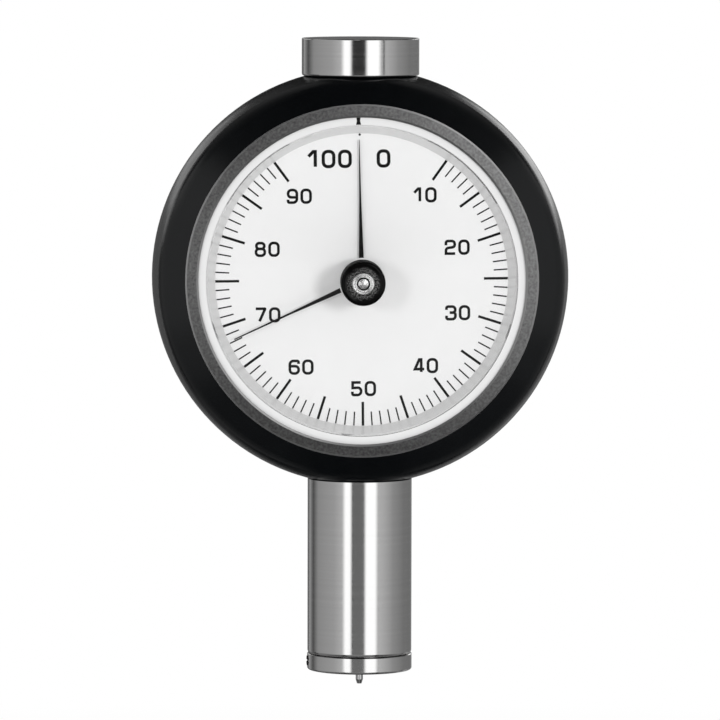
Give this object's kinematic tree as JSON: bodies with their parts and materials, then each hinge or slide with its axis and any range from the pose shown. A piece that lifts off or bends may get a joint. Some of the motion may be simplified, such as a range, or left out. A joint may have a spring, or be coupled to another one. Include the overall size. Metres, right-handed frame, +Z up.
{
  "type": "analog durometer",
  "caption": "Hand-held analog hardness gauge: thick round black case with a white dial, pointer and drag hand, steel cap on top, and a steel stem with a sprung indenter in its foot.",
  "frame": {"origin": "centre of the presser foot's flat face, where the indenter comes out", "axes": "+Z up along the stem's axis towards the cap, dial facing -Y, +X to the right of the dial as it is read"},
  "size_m": [0.071, 0.0336, 0.1105],
  "materials": {
    "black_case": "black anodised, satin",
    "satin_bezel": "satin grey, finely turned",
    "turned_steel": "fine turned, bright",
    "hard_steel": "ground and polished",
    "bright_steel": "face-turned, bright",
    "black_oxide": "blackened",
    "spring_steel": "blued wire",
    "clear_crystal": "clear, polished",
    "seal_rubber": "matte",
    "pale_gasket": "pale grey, matte",
    "white_dial": "matte white enamel",
    "white_ring": "white, slightly glossy",
    "yellow_brass": "machined",
    "bearing_bronze": "machined",
    "black_hand": "matte black",
    "black_knob": "satin black",
    "white_bush": "pale, matte"
  },
  "bodies": {
    "case": {"housing": "black_case", "back_cover": "black_case", "back_cover_seal": "seal_rubber", "back_cover_screws": "hard_steel", "bezel_ring": "satin_bezel", "crystal": "clear_crystal", "crystal_seal": "pale_gasket", "dial_ring": "white_ring", "dial_plate": "white_dial", "dial_feet": "yellow_brass", "front_plate": "yellow_brass", "front_plate_screws": "hard_steel", "rear_plate": "yellow_brass", "plate_pillars": "yellow_brass", "pillar_screws": "hard_steel", "arbor_bearings": "bearing_bronze", "hairspring_stud": "hard_steel", "hairspring": "spring_steel", "stem": "turned_steel", "presser_foot": "turned_steel", "foot_set_screw": "black_oxide", "lower_bush": "bearing_bronze", "upper_bush": "bearing_bronze", "spring_adjuster": "yellow_brass", "main_spring": "spring_steel", "top_cap": "turned_steel", "drag_bush": "white_bush", "friction_washer": "hard_steel"},
    "plunger": {"indenter": "hard_steel", "spindle": "hard_steel", "spring_collar": "hard_steel", "guide_pin": "hard_steel"},
    "drive_wheel": {"rack_pinion": "hard_steel", "drive_gear": "yellow_brass"},
    "pointer": {"centre_arbor": "hard_steel", "main_pointer": "black_hand", "pointer_hub": "black_hand", "hairspring_collet": "yellow_brass"},
    "drag_hand": {"drag_shaft": "bright_steel", "drag_knob": "black_knob", "drag_pointer": "black_hand", "drag_hub": "black_hand"}
  },
  "joints": [
    {"name": "indenter_slide", "type": "slide", "parent": "case", "child": "plunger", "axis": [0, 0, 1], "range_m": [0, 0.00251], "stiffness_N_per_m": 3000, "springref_m": -0.00018, "deforming": ["main_spring"]},
    {"name": "gear_spin", "type": "hinge", "parent": "case", "child": "drive_wheel", "pos_m": [-0.0033, 0, 0.05895], "axis": [0, 1, 0], "range_deg": [-72.5, 0.5]},
    {"name": "pointer_spin", "type": "hinge", "parent": "case", "child": "pointer", "pos_m": [0, 0, 0.06732], "axis": [0, 1, 0], "range_deg": [-1, 361], "deforming": ["hairspring"]},
    {"name": "drag_hand_turn", "type": "hinge", "parent": "case", "child": "drag_hand", "pos_m": [0, 0, 0.06732], "axis": [0, 1, 0], "range_deg": [-241, 111]}
  ],
  "couplings": [
    {"joint": "gear_spin", "follows": "indenter_slide", "rad_per_m": -500},
    {"joint": "pointer_spin", "follows": "indenter_slide", "rad_per_m": 2500}
  ]
}
